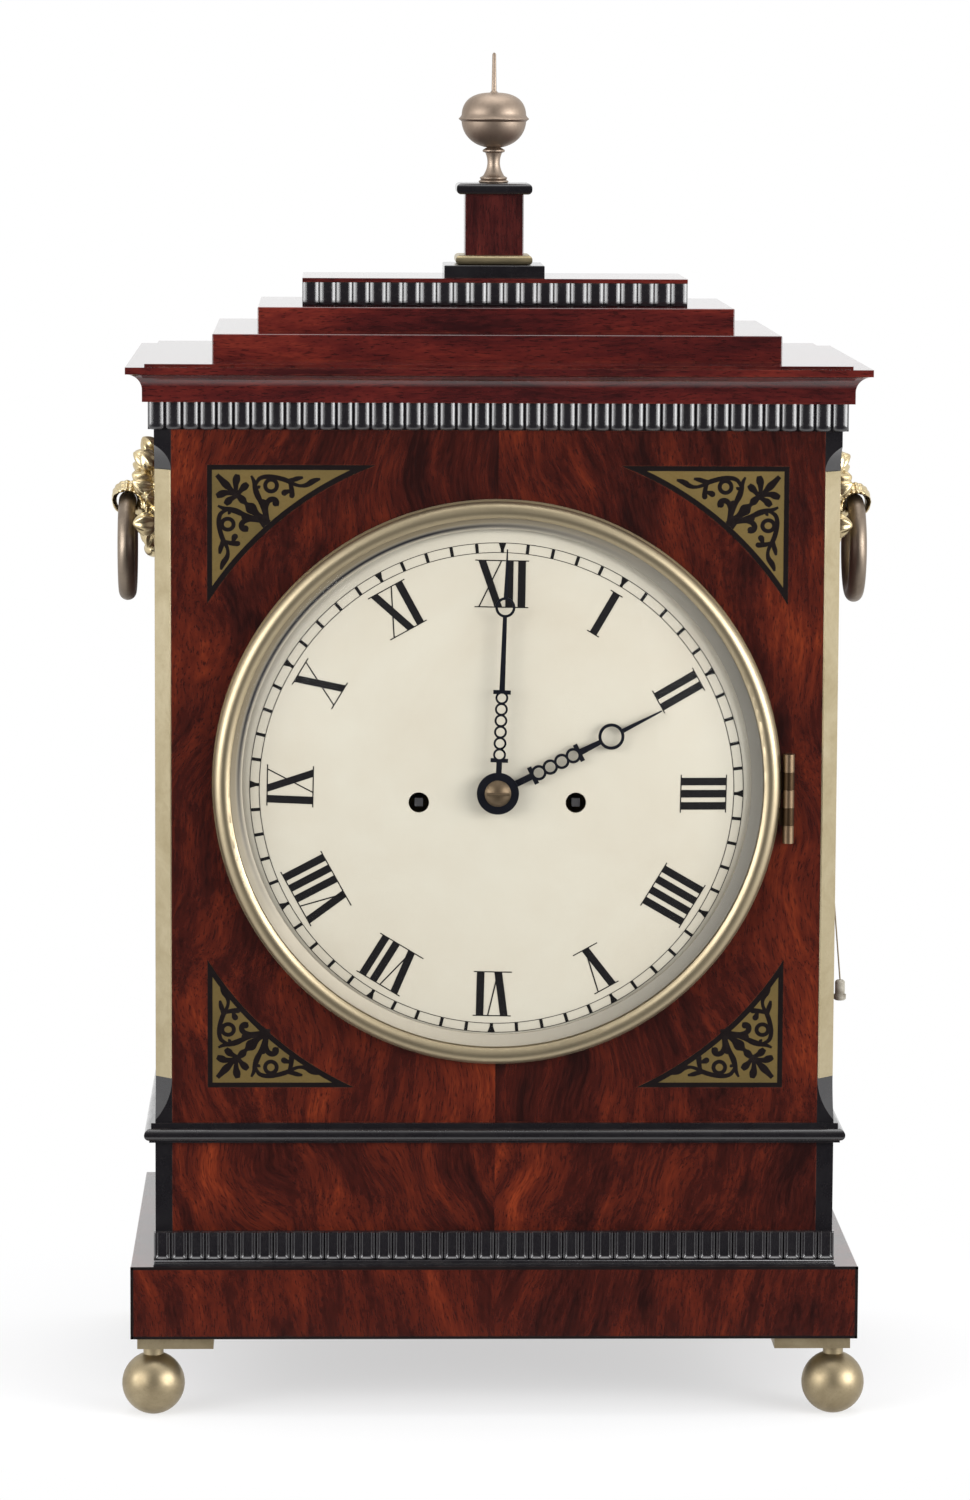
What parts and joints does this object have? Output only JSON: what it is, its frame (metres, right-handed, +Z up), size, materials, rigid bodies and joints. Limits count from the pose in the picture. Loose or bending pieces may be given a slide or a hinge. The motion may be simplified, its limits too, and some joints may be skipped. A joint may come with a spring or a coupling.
{
  "type": "bracket clock",
  "caption": "Mahogany bracket clock with a stepped top, brass inlay, ebonised mouldings, ring handles, a domed dial under a hinged glazed bezel, and a glazed back door.",
  "frame": {"origin": "on the floor under the middle of the clock's bounding box", "axes": "+Z up, the dial faces -Y, +X to the right seen from the front"},
  "size_m": [0.307, 0.2134, 0.5343],
  "materials": {
    "mahogany": "polished flame mahogany",
    "ebonised": "ebonised and polished",
    "oak": "plain",
    "brass": "aged brass",
    "bronze": "dark bronze",
    "steel": "blued and polished steel",
    "dial_paint": "cream paint on iron",
    "clear_glass": "clear",
    "cord": "braided line",
    "bone": "turned bone"
  },
  "bodies": {
    "case": {"plinth": "mahogany", "foot_plates": "brass", "ball_feet": "brass", "lower_gadroon": "ebonised", "skirt_board": "mahogany", "side_panels": "mahogany", "side_frets": "brass", "corner_posts": "ebonised", "corner_strips": "brass", "waist_moulding": "ebonised", "front_panel": "mahogany", "spandrels": "brass", "upper_gadroon": "ebonised", "back_frame": "mahogany", "cornice": "mahogany", "lower_step": "mahogany", "middle_step": "mahogany", "upper_step": "mahogany", "step_gadroon": "ebonised", "finial_slabs": "ebonised", "finial_collar": "brass", "finial_pedestal": "mahogany", "finial": "bronze", "lion_masks": "brass", "bezel_hinge_plate": "brass", "dial": "dial_paint", "back_door_butts": "brass", "cord_bush": "brass", "front_plate": "brass", "back_plate": "brass", "seat_board": "oak", "train_wheels": "brass", "back_cock": "brass", "bell": "bronze", "bell_stand": "steel"},
    "bezel": {"bezel": "brass", "bezel_glass": "clear_glass", "bezel_hinge_leaf": "brass"},
    "back_door": {"back_door": "mahogany", "back_door_glass": "clear_glass", "back_door_leaves": "brass", "back_door_knob": "brass"},
    "left_ring": {"left_ring": "brass"},
    "right_ring": {"right_ring": "brass"},
    "minute_hand": {"minute_hand": "steel", "hand_collet": "brass", "cannon_wheel": "brass"},
    "hour_hand": {"hour_hand": "steel", "hour_wheel": "brass"},
    "minute_wheel": {"minute_wheel": "brass"},
    "going_fusee": {"going_fusee": "brass"},
    "strike_fusee": {"strike_fusee": "brass"},
    "going_barrel": {"going_barrel": "brass"},
    "strike_barrel": {"strike_barrel": "brass"},
    "pendulum": {"pendulum_rod": "steel", "pendulum_bob": "brass"},
    "pallets": {"pallets": "steel"},
    "hammer": {"hammer": "steel"},
    "repeat_pull": {"repeat_bob": "bone", "repeat_cord": "cord"}
  },
  "joints": [
    {"name": "bezel_swing", "type": "hinge", "parent": "case", "child": "bezel", "pos_m": [0.114, -0.08395, 0.2453], "axis": [0, 0, 1], "range_deg": [0, 120]},
    {"name": "back_door_swing", "type": "hinge", "parent": "case", "child": "back_door", "pos_m": [0.0973, 0.09715, 0.2245], "axis": [0, 0, -1], "range_deg": [0, 110]},
    {"name": "left_ring_swing", "type": "hinge", "parent": "case", "child": "left_ring", "pos_m": [-0.147, 0.00675, 0.3544], "axis": [0, 1, 0], "range_deg": [-10, 85]},
    {"name": "right_ring_swing", "type": "hinge", "parent": "case", "child": "right_ring", "pos_m": [0.147, 0.00675, 0.3544], "axis": [0, -1, 0], "range_deg": [-10, 85]},
    {"name": "minute_turn", "type": "hinge", "parent": "case", "child": "minute_hand", "pos_m": [0, -0.07, 0.2485], "axis": [0, 1, 0], "continuous": true},
    {"name": "hour_turn", "type": "hinge", "parent": "case", "child": "hour_hand", "pos_m": [0, -0.07, 0.2485], "axis": [0, 1, 0], "continuous": true},
    {"name": "minute_wheel_turn", "type": "hinge", "parent": "case", "child": "minute_wheel", "pos_m": [0, -0.06, 0.2285], "axis": [0, 1, 0], "continuous": true},
    {"name": "going_wind", "type": "hinge", "parent": "case", "child": "going_fusee", "pos_m": [0.0306, -0.02, 0.2442], "axis": [0, 1, 0], "range_deg": [0, 4320]},
    {"name": "going_barrel_turn", "type": "hinge", "parent": "case", "child": "going_barrel", "pos_m": [0.048, -0.02, 0.1905], "axis": [0, 1, 0], "range_deg": [0, 2880]},
    {"name": "strike_wind", "type": "hinge", "parent": "case", "child": "strike_fusee", "pos_m": [-0.0306, -0.02, 0.2442], "axis": [0, 1, 0], "range_deg": [0, 4320]},
    {"name": "strike_barrel_turn", "type": "hinge", "parent": "case", "child": "strike_barrel", "pos_m": [-0.048, -0.02, 0.1905], "axis": [0, 1, 0], "range_deg": [0, 2880]},
    {"name": "pendulum_swing", "type": "hinge", "parent": "case", "child": "pendulum", "pos_m": [0, 0.02875, 0.30618], "axis": [0, 1, 0], "range_deg": [-3, 3]},
    {"name": "pallets_rock", "type": "hinge", "parent": "case", "child": "pallets", "pos_m": [0, 0.01, 0.30618], "axis": [0, 1, 0], "range_deg": [-3, 3]},
    {"name": "hammer_lift", "type": "hinge", "parent": "case", "child": "hammer", "pos_m": [0.05, -0.02925, 0.3035], "axis": [0, 1, 0], "range_deg": [-2, 14], "stiffness_Nm_per_rad": 0.3},
    {"name": "repeat_slide", "type": "slide", "parent": "case", "child": "repeat_pull", "axis": [0, 0, -1], "range_m": [0, 0.02], "stiffness_N_per_m": 60, "deforming": ["repeat_cord"]}
  ],
  "couplings": [
    {"joint": "hour_turn", "follows": "minute_turn", "ratio": 0.083333},
    {"joint": "minute_wheel_turn", "follows": "minute_turn", "ratio": -0.33333},
    {"joint": "going_barrel_turn", "follows": "going_wind", "ratio": 0.66667},
    {"joint": "strike_barrel_turn", "follows": "strike_wind", "ratio": 0.66667},
    {"joint": "pallets_rock", "follows": "pendulum_swing", "ratio": 1}
  ]
}
